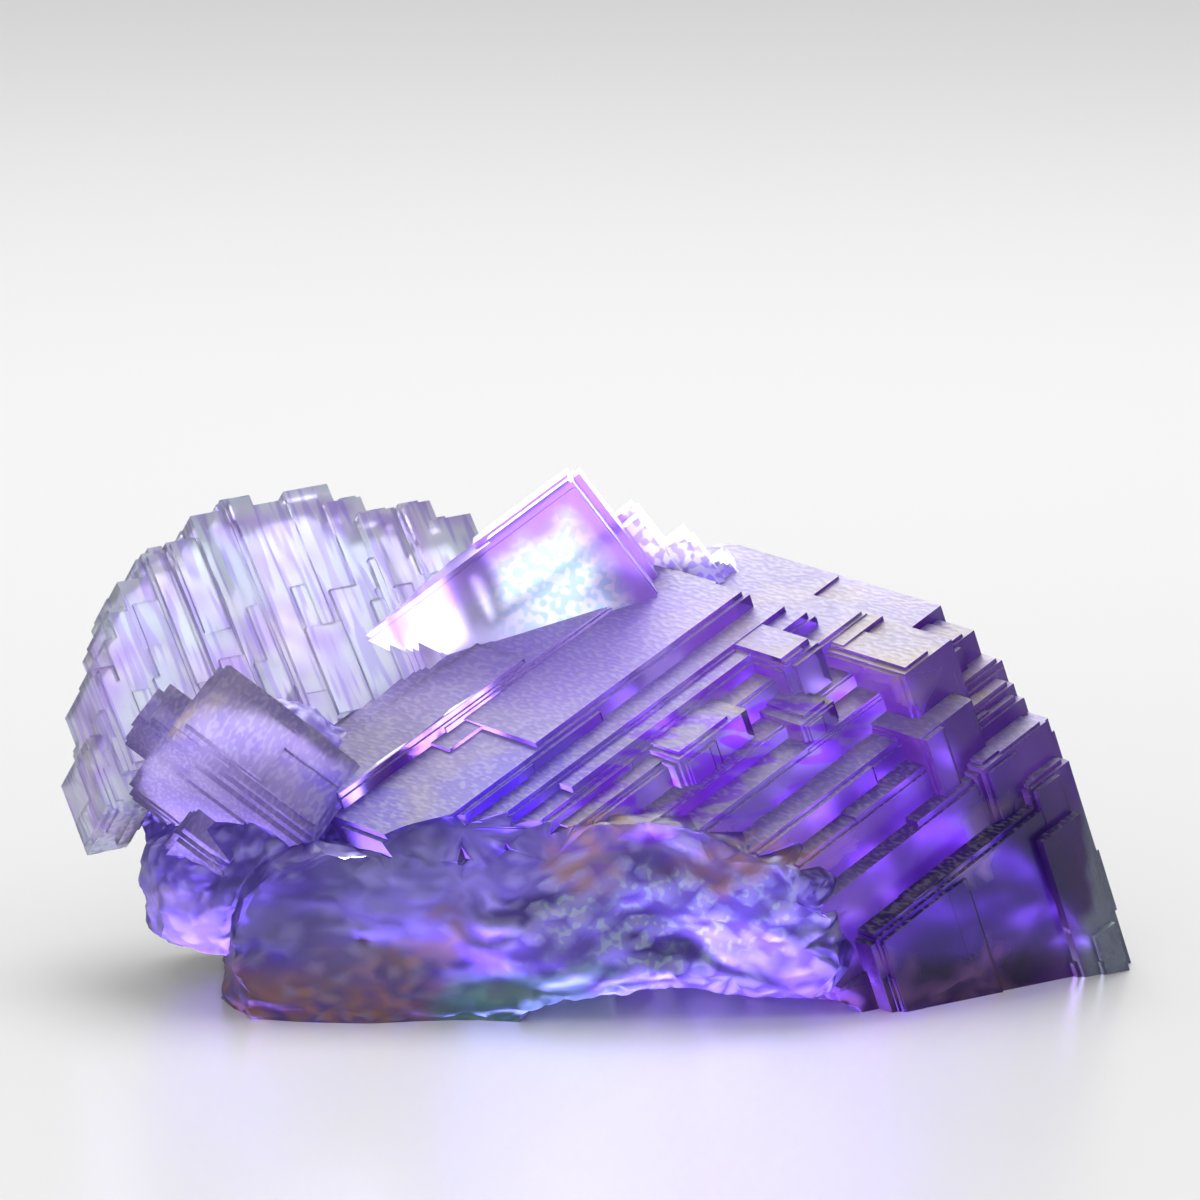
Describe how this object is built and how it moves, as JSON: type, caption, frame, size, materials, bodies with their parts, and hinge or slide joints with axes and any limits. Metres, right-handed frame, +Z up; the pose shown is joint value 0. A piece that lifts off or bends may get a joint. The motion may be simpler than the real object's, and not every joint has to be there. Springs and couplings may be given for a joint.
{
  "type": "fluorite cluster",
  "caption": "Cluster of intergrown purple fluorite cubes with stepped faces, a fan of thin columns and a broken root, standing free as a display specimen.",
  "frame": {"origin": "under the middle of the cluster's box, on the surface it rests on", "axes": "+X to the right along the longest side, -Y towards the front that the picture shows, +Z up"},
  "size_m": [0.0808, 0.0392, 0.0368],
  "materials": {
    "fluorite": "natural crystal, frosted and glossy faces"
  },
  "bodies": {
    "root": {"fluorite_cluster": "fluorite"}
  },
  "joints": []
}
